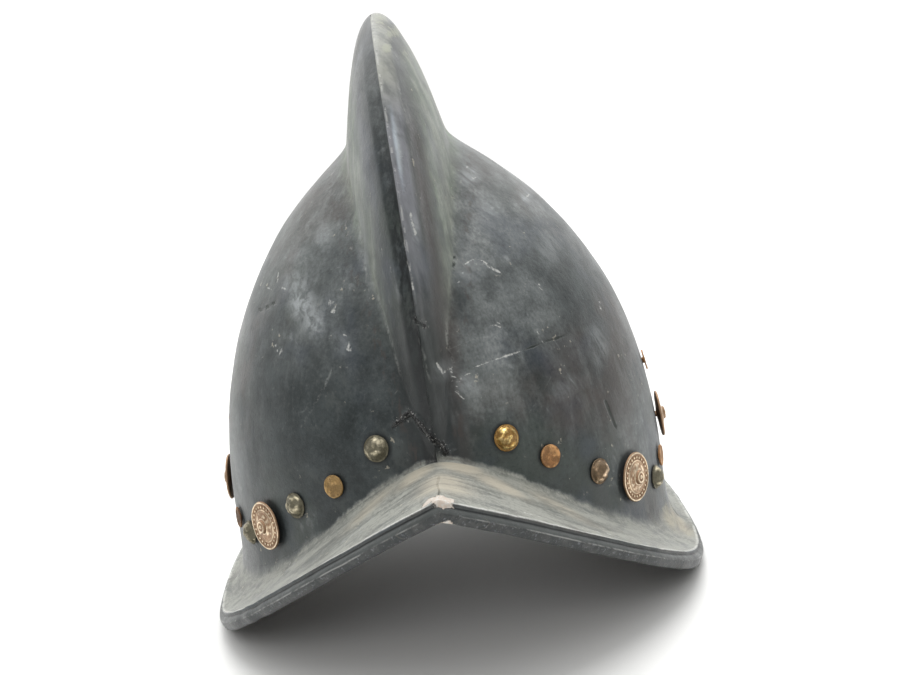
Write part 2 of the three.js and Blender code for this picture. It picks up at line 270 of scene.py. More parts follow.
def half_sections(seam_sign):
    """Every section of a +X half as one closed loop: crest seam, wall, brim, bead and back inside."""
    t = -np.cos(math.pi * np.arange(COLUMNS + 1) / COLUMNS)
    t[0], t[-1] = -1, 1
    seam_x = SEAM_GAP - seam_sign * LAP_OFFSET * (1 - t ** 2)
    outside = OUTER.run(t, seam_x, LAP_STEPS, WALL_STEPS)
    inside = INNER.run(t, seam_x, 0, INNER_STEPS)
    for row, y_sign in ((0, -1), (-1, 1)):
        outside[row] = (SEAM_GAP, y_sign * OUTER.end, JUNCTION_PEAK)
        inside[row] = (SEAM_GAP, y_sign * INNER.end, JUNCTION_PEAK)
    crease_inside = inside[:, -1] - np.array([0, 0, CREASE_DROP])
    top = brim_run(outside[:, -1], edge_points(t, 0, 0), BRIM_DISH, BRIM_STEPS)
    under_edge = edge_points(t, -UNDER_INSET, -WALL)
    under = brim_run(crease_inside, under_edge, BRIM_DISH + WALL / 2, UNDER_STEPS)
    bead = np.stack([edge_points(t, offset, lift) for offset, lift in BEAD], axis=1)
    rim = np.concatenate([top[:, 1:], bead, under[:, :0:-1]], axis=1)
    rim[[0, -1], :, 0] = SEAM_GAP
    points = np.concatenate([outside, rim, inside[:, ::-1]], axis=1)
    crease = outside.shape[1] - 1
    zones = {
        "t": t,
        "seam_x": seam_x,
        "crease": crease,
        "edge": crease + BRIM_STEPS,
        "bead_end": crease + BRIM_STEPS + len(BEAD),
        "under_end": crease + rim.shape[1],
    }
    return points, zones


def soften(points, centre, reach, rounds):
    """Rounds the crease along each section, most at its middle."""
    weight = np.cos(np.linspace(-math.pi / 2, math.pi / 2, 2 * reach + 1))[None, :, None]
    low, high = centre - reach, centre + reach + 1
    for _ in range(rounds):
        middle = (points[:, low - 1:high - 1] + points[:, low + 1:high + 1]) / 2
        points[:, low:high] += weight * 0.6 * (middle - points[:, low:high])


def normals(points):
    """Outward normals of the sections' grid."""
    along = np.gradient(points, axis=0)
    across = np.gradient(points, axis=1)
    normal = np.cross(across, along)
    size = np.linalg.norm(normal, axis=-1, keepdims=True)
    return normal / np.maximum(size, 1e-9)


# ---- Marks of wear and of painted light, in millimetres ----
# Seen from the front, as (x, z). All of them were charted.

PALE_SCRATCHES = [
    [(17, 160), (20, 162), (22, 166)], [(23, 168), (27, 170), (30, 172)],
    [(30, 169), (34, 165), (39, 161)], [(15, 123), (23, 127), (30, 128), (42, 128)],
    [(6, 133), (8, 128), (12, 129), (11, 124)], [(14, 124), (12, 119), (15, 115)],
    [(85, 135), (85, 131)], [(-65, 170), (-66, 166)], [(-72, 163), (-66, 164), (-61, 164)],
    [(-39, 161), (-37, 158), (-38, 154), (-40, 157), (-39, 161)],
    [(-36, 147), (-33, 145), (-32, 139), (-36, 141)], [(-69, 141), (-68, 136), (-65, 139)],
    [(-1, 187), (-1, 183)], [(-1, 178), (0, 174)], [(0, 170), (0, 166)], [(4, 197), (4, 193), (5, 188)],
    [(31, 207), (29, 204)], [(29, 201), (34, 202), (32, 199)], [(55, 188), (59, 188)],
    [(30, 141), (34, 143), (35, 140)], [(51, 135), (53, 129)], [(55, 153), (57, 149)],
]
FAINT_SCRATCHES = [
    [(-41, 132), (-50, 119), (-60, 106)], [(-73, 122), (-65, 116), (-57, 108)],
    [(-17, 162), (-14, 146), (-11, 128)], [(-22, 209), (-22, 192), (-21, 176), (-21, 160)],
    [(5, 252), (6, 242), (7, 233)], [(42, 191), (37, 185), (31, 178)], [(78, 125), (83, 114)],
    [(13, 150), (12, 138), (13, 128)], [(-1, 146), (1, 138), (1, 132), (2, 126)],
]
DARK_SCRATCHES = [
    [(41, 127), (53, 129.5), (65, 128)], [(-78, 153), (-73, 155), (-67, 158)], [(19, 172), (18, 167)],
    [(79, 95), (83, 80)],
]
TAR_RIDGE = [
    [(-17, 108), (-13, 110), (-9, 113), (-6, 110), (-3, 105), (2, 99), (4, 95)],
    [(-1, 154), (3, 150)],
]

# On the brim, seen from above, as (x, y).
BRIM_SCRATCHES = [
    [(-116, -17), (-115, -13)], [(-77, -89), (-75, -85)], [(33, -148), (42, -143), (48, -139)],
    [(56, -134), (63, -128), (70, -120)],
]
BRIM_CRACKS = [
    [(112, -10), (115, -16)], [(106, -24), (108, -29)],
    [(0, -168), (0.5, -158), (-0.5, -148), (0.5, -138)],
]

# Soft patches: centre, half width, half height and strength.
RUBBED = [
    (-55, 166, 9, 7, 0.6), (-53, 158, 8, 9, 1.0), (-48, 151, 7, 7, 0.9), (-52, 177, 9, 4, 0.35),
    (-41, 186, 6, 8, 0.45), (17, 121, 5, 6, 0.5), (9, 129, 6, 5, 0.3), (64, 165, 8, 8, 0.35),
    (24, 165, 8, 7, 0.3), (37, 186, 8, 10, 0.4), (31, 203, 6, 5, 0.7), (57, 188, 4, 3, 0.9),
    (80, 119, 6, 10, 0.5), (-21, 184, 3, 26, 0.4), (2, 224, 1.6, 10, 1.0), (5, 190, 2, 8, 0.6),
    (61, 107, 9, 5, 0.25), (-36, 143, 5, 7, 0.3),
]
# Pale patches, partly haze in the paint and partly painted reflection of the bright room, as along the
# skull's lower left edge.
HAZE_AND_REFLECTION = [
    (32, 138, 18, 26, 0.44), (45, 182, 26, 22, 0.22), (-52, 152, 26, 28, 0.14), (-106, 84, 15, 46, 0.8),
    (26, 116, 18, 14, 0.3), (93, 66, 16, 30, 0.48), (46, 142, 18, 18, 0.36), (30, 172, 14, 14, 0.36),
]
BROWNED = [
    (66, 112, 20, 24, 0.6), (12, 146, 6, 26, 0.95), (40, 205, 16, 12, 0.5), (-50, 196, 18, 12, 0.45),
]
PALE_TOP = [(6, 273, 5, 5, 0.62), (2, 266, 3, 3, 0.85), (0, 279, 4, 5, 0.5), (9, 262, 4, 6, 0.4)]
BRIM_CREAM = [
    (9, -121, 12, 10, 0.85), (24, -126, 14, 9, 0.7), (-10, -124, 11, 9, 0.75), (106, -34, 8, 15, 0.6),
    (114, -28, 6, 15, 0.7), (-32, -119, 16, 8, 0.5), (50, -116, 18, 9, 0.5), (2, -146, 14, 16, 0.7),
]
PLASTER = [(1, -168, 5.5, 5, 1.0), (-4, -166, 4, 4, 0.8), (5, -166, 3, 3, 0.7)]


def patch_amount(points, patches):
    amount = np.zeros(points.shape[:-1])
    for x, z, half_width, half_height, strength in patches:
        reach = np.hypot((points[..., 0] - x) / half_width, (points[..., 1] - z) / half_height)
        amount = np.maximum(amount, strength * smooth_step(reach, 1.3, 0.2))
    return amount


def nearest_line(points, lines):
    return np.min([line_distance(points, line) for line in lines], axis=0)


# ---- The two shell halves ----

FAR = 20.0  # the paint takes no notice of a mark further away than this
WIDE = 60.0
WAVES = ((46, 0.4, 3), (21, 0.25, 5), (9, 0.08, 7))  # size, depth and seed of the hand-formed waves
WAVES_MIDDLE = 0.3
CREST_FOOT = (92, 142)  # the lap fades in between these heights
CREST_ROUNDING = (282, 258)  # and its relief fades out between these
VALLEY = (-6.6, -2.0)
VALLEY_DEPTH = 1.5
STRIP = (4.5, 2.6)  # middle and half width of the lap's flat strip
STRIP_DEPTH = 0.5
TROUGH = (12.0, 3.0)
TROUGH_DEPTH = 0.8
EDGE_CHIP = 0.5
LAP_CHIP = 0.4
GOUGE_DEPTH = 0.25
SCRATCH_DEPTH = 0.12
TAR_HEIGHT = 0.9


def shell_places(points, zones, side):
    """Where each point of a half lies before its surface is worked."""
    x, y, z = np.moveaxis(points, -1, 0).copy()
    index = np.arange(points.shape[1])[None]
    ends = np.broadcast_to(np.abs(zones["t"])[:, None], x.shape)
    wall = (index <= zones["crease"]).astype(float)
    outside = (index <= zones["edge"]).astype(float)
    front = (y < 0) * 1.0
    return SimpleNamespace(
        z=z,
        index=index,
        lap=x - side * zones["seam_x"][:, None],
        wall=wall,
        outside=outside,
        bead=((index > zones["edge"]) & (index <= zones["bead_end"])).astype(float),
        inner=(index > zones["bead_end"]).astype(float) * np.ones_like(x),
        end_fade=smooth_step(1 - ends, 0, 0.02),
        front=front,
        faded=wall * smooth_step(y, 36, -6),
        on_wall=front * wall > 0,
        on_brim=(front > 0) & (index > zones["crease"]) & (index <= zones["edge"] + 2),
        view=np.stack([x + lean(z), z], axis=-1),
        plan=np.stack([x, y], axis=-1),
    )


def relief(points, zones, at, seam_sign):
    """How far the hand-worked surface lies below the plain one."""
    crest_zone = at.wall * smooth_step(at.z, *CREST_FOOT)
    lap_zone = crest_zone * smooth_step(at.z, *CREST_ROUNDING)
    # A valley beside the lap's edge on the short half, a flat strip and a trough on the long one.
    if seam_sign < 0:
        drop = lap_zone * VALLEY_DEPTH * smooth_step(at.lap, *VALLEY)
    else:
        strip = STRIP_DEPTH * bump(at.lap - STRIP[0], STRIP[1])
        drop = lap_zone * (strip + TROUGH_DEPTH * bump(at.lap - TROUGH[0], TROUGH[1]))
    waves = sum(depth * noise(points, size, seed) for size, depth, seed in WAVES)
    drop += at.outside * at.end_fade * (WAVES_MIDDLE - waves) * smooth_step(np.abs(at.lap), 0, 5)
    # The rolled edge is uneven, and it and the lap's edge are chipped.
    nicks = smooth_step(noise(points, 11, 11), 0.35, 0.8) * 0.4 + 0.1 * (1 + noise(points, 4, 13))
    drop += at.bead * at.end_fade * nicks
    edge_chips = smooth_step(noise(points, 7, 17), 0.35, 0.75)
    drop += bump(at.index - zones["edge"], 1.2) * at.end_fade * EDGE_CHIP * edge_chips
    lap_chips = smooth_step(noise(points, 15, 19), 0.15, 0.7)
    drop += crest_zone * bump(at.lap, 0.8) * LAP_CHIP * lap_chips * (seam_sign > 0)
    return drop


def mark_distances(at):
    """How far each point is from the nearest charted mark of each kind."""
    pale = np.where(at.on_wall, nearest_line(at.view, PALE_SCRATCHES), FAR)
    dark = np.where(at.on_wall, nearest_line(at.view, DARK_SCRATCHES), FAR)
    return {
        "pale": np.where(at.on_brim, nearest_line(at.plan, BRIM_SCRATCHES), pale),
        "dark": np.where(at.on_brim, nearest_line(at.plan, BRIM_CRACKS) + 0.3, dark),
        "faint": np.where(at.on_wall, nearest_line(at.view, FAINT_SCRATCHES), FAR),
        "tar": np.where(at.front * at.outside > 0, nearest_line(at.view, TAR_RIDGE), FAR),
    }


def paint_fields(points, zones, at, marks):
    """What the paint needs to know at each point of a worked half."""
    y, z = points[..., 1], points[..., 2]
    index, crease = at.index, zones["crease"]
    fold = OUTER.skull(y, z) - OUTER.comb(y, z)
    brim = np.linalg.norm(points - points[:, crease][:, None], axis=-1) * np.where(index <= crease, -1, 1)
    edge = np.linalg.norm(points - points[:, zones["edge"]][:, None], axis=-1)
    edge *= np.where((index <= zones["edge"]) | (index > zones["under_end"]), 1, -1)
    brim_cream = at.on_brim * patch_amount(at.plan, BRIM_CREAM)
    rim_front = at.front * (index > crease) * (index <= zones["bead_end"])
    return {
        "lap": np.where(at.wall > 0, np.clip(at.lap, -WIDE, WIDE), WIDE),
        "fold": np.where(at.wall > 0, np.clip(fold, -WIDE, WIDE), WIDE),
        "brim": np.clip(brim, -40, 60),
        "edge": np.clip(edge, -40, 40),
        "inner": at.inner,
        "along": y,
        "seam": ((index == 0) | (index == points.shape[1] - 1)) * np.ones_like(y),
        **{kind: np.clip(distance, 0, FAR) for kind, distance in marks.items()},
        "rubbed": at.faded * patch_amount(at.view, RUBBED),
        "haze": at.faded * patch_amount(at.view, HAZE_AND_REFLECTION),
        "browned": at.faded * patch_amount(at.view, BROWNED),
        "cream": at.faded * patch_amount(at.view, PALE_TOP) + brim_cream,
        "plaster": rim_front * patch_amount(at.plan, PLASTER),
    }


def half_grid(side, seam_sign):
    """Points of one half in place, and the fields of its paint."""
    points, zones = half_sections(seam_sign)
    soften(points, zones["crease"], 9, 14)
    normal = normals(points)
    points[..., 0] *= side
    normal[..., 0] *= side
    at = shell_places(points, zones, side)
    marks = mark_distances(at)
    drop = relief(points, zones, at, seam_sign)
    drop += GOUGE_DEPTH * bump(marks["dark"], 1.0) + SCRATCH_DEPTH * bump(marks["pale"], 0.8)
    drop -= TAR_HEIGHT * bump(marks["tar"], 1.7) * smooth_step(noise(points, 5, 23), -0.9, 0.1)
    points -= normal * np.clip(drop, -TAR_HEIGHT, None)[..., None]
    points[..., 0] += lean(points[..., 2])
    return points, zones, paint_fields(points, zones, at, marks)


def fixing_distance(points, centres, radii):
    nearest = np.full(points.shape[:-1], FAR)
    for centre, radius in zip(centres, radii):
        nearest = np.minimum(nearest, np.linalg.norm(points - centre, axis=-1) - radius)
    return np.clip(nearest, -5, FAR)


def grid_faces(points, zones, side):
    rows, size = points.shape[:2]
    names = np.arange(rows * size).reshape(rows, size)
    crease, under_end = zones["crease"], zones["under_end"]
    for row in (0, -1):
        names[row, :crease] = names[row, crease]
        names[row, under_end + 2:] = names[row, under_end + 1]
    after = np.roll(names, -1, axis=1)
    quads = np.stack([names[:-1], after[:-1], after[1:], names[1:]], axis=-1).reshape(-1, 4)
    faces = []
    for quad in quads.tolist():
        corners = list(dict.fromkeys(quad))
        if len(corners) > 2:
            faces.append(corners)
    rim = names[:, crease:under_end + 2]
    faces += [rim[0, ::-1].tolist(), rim[-1].tolist()]
    if side < 0:
        faces = [face[::-1] for face in faces]
    return faces


def make_mesh(name, points, faces, fields, material, sharp=math.radians(40)):
    """A mesh object from millimetre points, without the points that no face uses."""
    used = np.unique(np.concatenate([np.array(face) for face in faces]))
    renumber = np.zeros(len(points), int)
    renumber[used] = np.arange(len(used))
    lookup = renumber.tolist()
    mesh = bpy.data.meshes.new(name)
    mesh.from_pydata((points[used] * MM).tolist(), [], [[lookup[v] for v in face] for face in faces])
    for key, values in fields.items():
        layer = mesh.attributes.new(key, "FLOAT", "POINT")
        layer.data.foreach_set("value", np.ascontiguousarray(values[used], dtype=np.float32))
    mesh.shade_smooth()
    mesh.set_sharp_from_angle(angle=sharp)
    mesh.materials.append(material)
    return add_object(name, mesh)


# ---- Shader building ----

def add_object(name, data):
    made = bpy.data.objects.new(name, data)
    bpy.context.scene.collection.objects.link(made)
    return made


class Nodes:
    """Short spellings for the nodes of a material or a world."""

    def __init__(self, owner):
        owner.use_nodes = True
        self.tree = owner.node_tree

    def node(self, kind, **settings):
        made = self.tree.nodes.new("ShaderNode" + kind)
        for key, value in settings.items():
            setattr(made, key, value)
        return made

    def put(self, socket, value):
        if isinstance(value, bpy.types.NodeSocket):
            self.tree.links.new(value, socket)
        elif isinstance(value, tuple) and len(value) == 3 and socket.type == "RGBA":
            socket.default_value = (*value, 1)
        else:
            socket.default_value = value

    def fill(self, made, places, values):
        for place, value in zip(places, values):
            self.put(made.inputs[place], value)
        return made.outputs

    def math(self, operation, a, b=0.0, clamp=False):
        return self.fill(self.node("Math", operation=operation, use_clamp=clamp), (0, 1), (a, b))[0]

    def times(self, *values):
        return reduce(partial(self.math, "MULTIPLY"), values)

    def plus(self, *values):
        return reduce(partial(self.math, "ADD"), values)

    def span(self, value, low, high, start=0.0, end=1.0):
        """Smoothly from start to end as value goes from low to high."""
        made = self.node("MapRange", interpolation_type="SMOOTHSTEP")
        return self.fill(made, range(5), (value, low, high, start, end))[0]

    def near(self, value, centre, width):
        """1 where value is at centre, fading to 0 a width away."""
        return self.span(self.math("ABSOLUTE", self.math("SUBTRACT", value, centre)), 0.0, width, 1.0, 0.0)

    def mix(self, factor, a, b):
        return self.fill(self.node("Mix", data_type="RGBA"), (0, 6, 7), (factor, a, b))[2]

    def blend(self, factor, a, b):
        return self.fill(self.node("Mix", data_type="FLOAT"), (0, 2, 3), (factor, a, b))[0]


class Shader(Nodes):
    """One material, whose paint is laid coat by coat."""

    def __init__(self, name, **fixed):
        self.material = bpy.data.materials.new(name)
        super().__init__(self.material)
        self.surface = self.tree.nodes["Principled BSDF"]
        for key, value in fixed.items():
            self.surface.inputs[key.replace("_", " ")].default_value = value
        self.place = self.node("TexCoord").outputs["Object"]

    def swing(self, pattern, reach):
        """A 0 to 1 pattern turned into one about 0, as wide as reach."""
        return self.times(self.math("SUBTRACT", pattern, 0.5), reach)

    def coat(self, colour, *amounts):
        """Lays a colour over the ones so far, by the product of the amounts."""
        self.colour = self.mix(self.times(*amounts), self.colour, colour)

    def field(self, name):
        return self.node("Attribute", attribute_name=name).outputs["Fac"]

    def drawn_out(self, tall, shift=(0.0, 0.0, 0.0)):
        """Coordinates whose patterns are taller where tall is under 1."""
        made = self.node("Mapping")
        self.put(made.inputs["Vector"], self.place)
        made.inputs["Scale"].default_value = (1, 1, tall)
        made.inputs["Location"].default_value = shift
        return made.outputs[0]

    def strokes(self, tilt, length):
        """Coordinates whose patterns are drawn out along a line in the front view."""
        made = self.node("Mapping", vector_type="TEXTURE")
        self.put(made.inputs["Vector"], self.place)
        made.inputs["Rotation"].default_value = (0.0, tilt, 0.0)
        made.inputs["Scale"].default_value = (1.0, 1.0, length)
        return made.outputs[0]

    def noise(self, scale, detail=3.0, roughness=0.5, vector=None, distortion=0.0):
        made = self.node("TexNoise")
        self.put(made.inputs["Vector"], vector or self.place)
        for key, value in (("Scale", scale), ("Detail", detail), ("Roughness", roughness)):
            made.inputs[key].default_value = value
        made.inputs["Distortion"].default_value = distortion
        return made.outputs[0]

    def facing_up(self, low, high):
        split = self.node("SeparateXYZ")
        self.put(split.inputs[0], self.node("NewGeometry").outputs["Normal"])
        return self.span(split.outputs["Z"], low, high)

    def finish(self, colour, roughness, height=None, depth=0.0002):
        self.put(self.surface.inputs["Base Color"], colour)
        self.put(self.surface.inputs["Roughness"], roughness)
        if height is not None:
            made = self.node("Bump")
            made.inputs["Strength"].default_value = 1.0
            made.inputs["Distance"].default_value = depth
            self.put(made.inputs["Height"], height)
            self.put(self.surface.inputs["Normal"], made.outputs[0])
        return self.material


# ---- Paint of the shell ----

NEAR_BLACK = (0.007, 0.009, 0.01)
SLATE_DARK = (0.014, 0.02, 0.021)
SLATE = (0.034, 0.044, 0.046)
LOW_CREST = (0.011, 0.014, 0.014)
GREEN = (0.046, 0.06, 0.047)
BROWN = (0.048, 0.037, 0.032)
DARK_BROWN = (0.028, 0.022, 0.02)
BLUE = (0.034, 0.045, 0.062)
LILAC = (0.22, 0.225, 0.245)
CREST_GREY = (0.27, 0.275, 0.24)
# The film colours below are partly worn paint and dust, partly painted light from above; the haze grey also
# carries painted reflection.
FLANK_FILM_AND_LIGHT = (0.262, 0.283, 0.24)
FLANK_GREEN_FILM_AND_LIGHT = (0.18, 0.215, 0.17)
HAZE_AND_LIGHT_GREY = (0.235, 0.25, 0.248)
BRIM_FILM_AND_LIGHT = (0.315, 0.32, 0.285)
CREAM = (0.54, 0.49, 0.39)
PLASTER_CREAM = (0.54, 0.46, 0.39)
TOP_CREAM = (0.36, 0.37, 0.3)
WARM_FILM = (0.37, 0.335, 0.265)
CHALK = (0.62, 0.62, 0.59)
SMEAR = (0.4, 0.425, 0.435)
BEAD_DARK = (0.018, 0.022, 0.023)
BEAD_LIGHT = (0.046, 0.048, 0.046)
LIT_FACET = (0.078, 0.086, 0.084)
PAINTED_REFLECTION_BLUE = (0.46, 0.52, 0.58)
CLOUD_GREY = (0.085, 0.095, 0.088)
SPECK_GREY = (0.085, 0.095, 0.092)
GOUGE = (0.009, 0.015, 0.011)
TAR = (0.006, 0.006, 0.006)
INSIDE_DARK = (0.035, 0.03, 0.026)
INSIDE = (0.06, 0.05, 0.042)


# The paint's distances (lap, fold, brim, edge and those from the marks) are in millimetres, level is
# the height in metres, and the other fields run from 0 to 1.
PAINT_FIELDS = (
    "lap fold brim edge inner along seam fixing pale dark faint tar rubbed haze browned cream plaster"
).split()


def round_the_brim(s, p, stretch):
    """Coordinates across and along the brim, whose patterns are drawn out along it."""
    run = s.node("CombineXYZ")
    s.put(run.inputs[0], s.times(p.brim, MM))
    s.put(run.inputs[1], s.times(p.along, MM / stretch))
    return run.outputs[0]


def paint_patterns(s):
    """The fields and noises that the layers of paint share."""
    p = SimpleNamespace(**{name: s.field(name) for name in PAINT_FIELDS})
    p.beside = s.math("ABSOLUTE", p.lap)
    p.from_middle = s.math("ABSOLUTE", p.along)
    split = s.node("SeparateXYZ")
    s.put(split.inputs[0], s.place)
    p.level = split.outputs["Z"]
    p.blotch_a = s.noise(11, 4, 0.55)
    p.blotch_b = s.noise(15, 4, 0.6, s.drawn_out(1, (3, 1, 2)))
    p.blotch_c = s.noise(19, 3, 0.6, s.drawn_out(1, (7, 5, 1)))
    p.cloud = s.noise(38, 5, 0.62, distortion=0.7)
    p.mottle = s.noise(75, 7, 0.68)
    p.rough = s.noise(260, 4, 0.65)
    p.grain = s.noise(900, 3, 0.6)
    p.speck = s.noise(520, 5, 0.72)
    p.drip = s.noise(120, 5, 0.62, s.drawn_out(0.13))
    p.fine_drip = s.noise(420, 4, 0.6, s.drawn_out(0.1))
    p.hair = s.noise(900, 3, 0.6, s.drawn_out(0.16))
    p.stroke = s.noise(210, 5, 0.62, s.strokes(-0.62, 5.0), 0.5)
    p.smear = s.noise(70, 7, 0.7, round_the_brim(s, p, 1.7), 1.6)
    p.streak = s.noise(300, 5, 0.66, round_the_brim(s, p, 4.5), 1.0)
    return p


def lay_lacquer(s, p):
    """Slate mottled with green, brown and blue."""
    s.colour = SLATE_DARK
    s.coat(SLATE, s.span(p.mottle, 0.35, 0.68))
    s.coat(GREEN, s.span(p.blotch_a, 0.5, 0.66), 0.55)
    s.coat(BROWN, s.span(p.blotch_b, 0.53, 0.68), 0.7)
    s.coat(BLUE, s.span(p.blotch_c, 0.5, 0.66), 0.75)
    s.coat(BROWN, p.browned, s.span(p.cloud, 0.32, 0.55, 0.45, 1.0))
    s.coat(CLOUD_GREY, s.span(p.cloud, 0.54, 0.66), 0.3)
    s.coat(SLATE_DARK, s.span(p.cloud, 0.46, 0.36), 0.35)
    s.coat(SPECK_GREY, s.span(p.speck, 0.5, 0.7), 0.3)
    s.coat(NEAR_BLACK, s.span(p.speck, 0.48, 0.32), 0.5)


def lay_film(s, p):
    """A pale rubbed film on the comb's flanks, on the brim's top and in slow patches with drips; it is partly
    worn paint and dust and partly painted light, paler on the flanks, the brim's top and the faces turned up
    as if lit from above, with painted reflection in the haze patches.
    """
    low_crest = s.times(s.span(p.beside, 9, 17, 1, 0), s.span(p.level, 0.135, 0.17, 1, 0))
    flank = s.times(s.span(p.fold, -14, 2, 1, 0), s.span(p.beside, 9, 17))
    spill = s.times(s.span(p.from_middle, 98, 117), 2.6)
    brim_start = s.plus(p.brim, spill, s.swing(p.mottle, 9.0))
    brim_fade = s.blend(s.span(p.from_middle, 60, 110), 9.0, 1.2)
    p.on_brim = s.times(s.span(brim_start, -1.5, brim_fade), s.span(p.edge, -0.6, 0.2))
    patches = s.times(s.span(p.blotch_b, 0.42, 0.62), s.span(p.drip, 0.45, 0.7))
    # Painted light: faces turned up are paler as if lit from above, and the comb's flanks partly so.
    wall_film = s.plus(
        s.times(s.facing_up(0.15, 0.85), 0.45, s.span(p.drip, 0.25, 0.7, 0.35, 1.0)),
        s.times(flank, s.span(p.drip, 0.3, 0.7, 0.34, 0.88)),
        s.times(patches, 0.22),
        s.times(p.haze, s.span(p.cloud, 0.32, 0.62, 0.5, 1.2)),
    )
    # The brim's top is paler partly from dry-brushed wear, partly as painted light from above.
    brim_film = s.times(s.span(p.smear, 0.34, 0.6, 0.42, 1.0), s.span(p.streak, 0.3, 0.7, 0.8, 1.12), 0.95)
    film = s.blend(p.on_brim, wall_film, brim_film)
    film = s.times(film, s.span(p.speck, 0.3, 0.7, 0.72, 1.25), s.span(p.hair, 0.3, 0.7, 0.82, 1.15))
    p.film = s.times(film, s.span(p.mottle, 0.36, 0.62, s.blend(p.on_brim, 0.6, 0.85), 1.12))
    s.coat(LOW_CREST, low_crest, s.span(p.drip, 0.25, 0.6, 0.5, 0.85))
    greener = s.times(s.span(s.noise(62, 6, 0.7, s.drawn_out(0.45)), 0.42, 0.62), flank)
    wall_colour = s.mix(greener, s.mix(flank, HAZE_AND_LIGHT_GREY, FLANK_FILM_AND_LIGHT), FLANK_GREEN_FILM_AND_LIGHT)
    s.coat(s.mix(p.on_brim, wall_colour, BRIM_FILM_AND_LIGHT), s.math("MINIMUM", p.film, 0.95))


def lay_crest(s, p):
    """Painted shade in the valley beside the lap's edge, a paler flat strip, partly worn paint and partly
    painted reflection, with a painted reflection streak on it and a brown band beside it, and dashes in the
    comb's fold.
    """
    # Painted shade: the valley beside the lap's edge is darkened towards near black.
    valley = s.span(s.plus(p.lap, s.times(p.drip, 3.0)), -5.6, -2.6)
    patchy = s.span(s.noise(230, 6, 0.72, s.drawn_out(0.35)), 0.4, 0.56, 0.12, 1.0)
    upper = s.span(p.level, 0.17, 0.26, 0.95, 0.35)
    p.valley = s.times(valley, s.span(p.lap, -0.35, 0.0, 1, 0), patchy, upper)
    s.coat(NEAR_BLACK, p.valley)
    # The flat strip is paler, partly from worn paint and partly as painted reflection on its flat face.
    on_strip = s.times(s.span(p.lap, -0.2, 0.1), s.span(p.lap, 6.5, 9.5, 1, 0))
    p.strip = s.times(on_strip, s.span(p.drip, 0.32, 0.62, 0.3, 0.9))
    strip_colour = s.mix(s.span(p.level, 0.232, 0.258), LILAC, CREST_GREY)
    s.coat(strip_colour, p.strip, s.span(p.level, 0.14, 0.2))
    # Painted reflection: a pale blue streak of light on the strip's glossy face.
    painted_reflection = s.times(s.near(p.lap, 3.4, 1.7), s.near(p.level, 0.224, 0.022))
    s.coat(PAINTED_REFLECTION_BLUE, painted_reflection, s.span(p.fine_drip, 0.35, 0.6, 0.4, 1.0), 0.85)
    band = s.times(s.near(p.lap, 12.5, 5.5), s.span(p.drip, 0.3, 0.6, 0.4, 0.95))
    band = s.times(band, s.span(p.level, 0.215, 0.25, 1.0, 0.1))
    s.coat(DARK_BROWN, band, s.span(p.level, 0.14, 0.19, 0.45, 1.0))
    s.coat(BROWN, s.near(p.fold, 4, 5), s.span(p.fine_drip, 0.5, 0.62), 0.55)
    dashes = s.times(s.near(p.fold, 2, 3), s.span(p.fine_drip, 0.57, 0.68))
    s.coat(CHALK, dashes, s.span(p.level, 0.15, 0.175), s.span(p.mottle, 0.46, 0.6), 0.32)


def lay_scratches(s, p):
    """Scuffs, hairlines, chips, rubbed patches and the charted scratches."""
    scuff = s.times(s.span(p.cloud, 0.55, 0.68), s.span(p.stroke, 0.5, 0.66))
    s.coat(SMEAR, scuff, s.span(p.blotch_c, 0.46, 0.6), 0.35)
    hairline = s.noise(24, 0, 0.5, s.strokes(-0.7, 14.0))
    other_hairline = s.noise(20, 0, 0.5, s.strokes(0.9, 14.0))
    lines = s.plus(s.near(hairline, 0.5, 0.0035), s.near(other_hairline, 0.47, 0.003))
    lines = s.times(lines, s.span(p.mottle, 0.48, 0.62), s.span(p.speck, 0.4, 0.55))
    p.lines = s.times(lines, s.span(p.beside, 9, 14), 0.09)
    s.coat(CHALK, p.lines)
    p.chips = s.times(s.span(s.noise(260, 3, 0.6), 0.66, 0.7), s.span(p.cloud, 0.52, 0.6))
    s.coat(CREAM, p.chips, s.span(p.beside, 6, 10), 0.45)
    p.rub = s.times(p.rubbed, s.span(p.stroke, 0.36, 0.6), s.span(p.speck, 0.3, 0.6, 0.7, 1.05))
    s.coat(SMEAR, s.plus(s.times(p.rub, 0.62), s.times(p.rubbed, 0.12)))
    faint = s.span(s.plus(p.faint, s.swing(p.rough, 2.0)), 0.1, 0.9, 1, 0)
    s.coat(CHALK, faint, s.span(p.speck, 0.42, 0.58), s.span(p.cloud, 0.4, 0.6, 0.3, 1.0), 0.2)
    pale_line = s.plus(p.pale, s.swing(s.noise(600, 3, 0.65), 1.8))
    p.scratch = s.times(s.span(pale_line, 0.05, 0.62, 1, 0), s.span(p.speck, 0.36, 0.52))
    s.coat(CHALK, p.scratch, 0.72)
    p.gouge = s.span(s.plus(p.dark, s.swing(p.rough, 1.0)), 0.3, 1.05, 1, 0)
    s.coat(GOUGE, p.gouge, 0.85)


